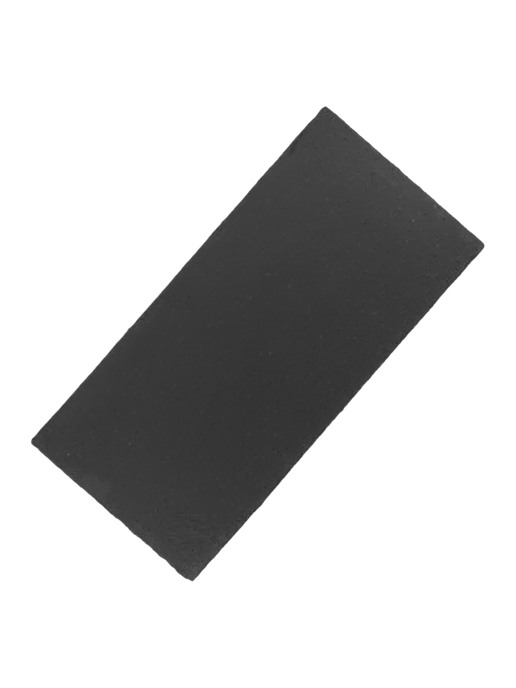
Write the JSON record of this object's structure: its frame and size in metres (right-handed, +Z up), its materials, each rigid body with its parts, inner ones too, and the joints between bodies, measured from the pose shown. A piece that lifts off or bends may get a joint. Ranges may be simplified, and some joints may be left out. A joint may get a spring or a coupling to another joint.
{
  "type": "slate slab",
  "caption": "Thin rectangular slab of dark split slate with hand-trimmed, chipped edges and broken corners, lying flat on its underside.",
  "frame": {"origin": "middle of the flat split underside", "axes": "+X along the slab's length, +Y across it, +Z up out of the top face"},
  "size_m": [0.3812, 0.1836, 0.006],
  "materials": {
    "slate": "matt split slate, dark neutral grey, paler along the chipped edges"
  },
  "bodies": {
    "root": {"slate_slab": "slate"}
  },
  "joints": []
}
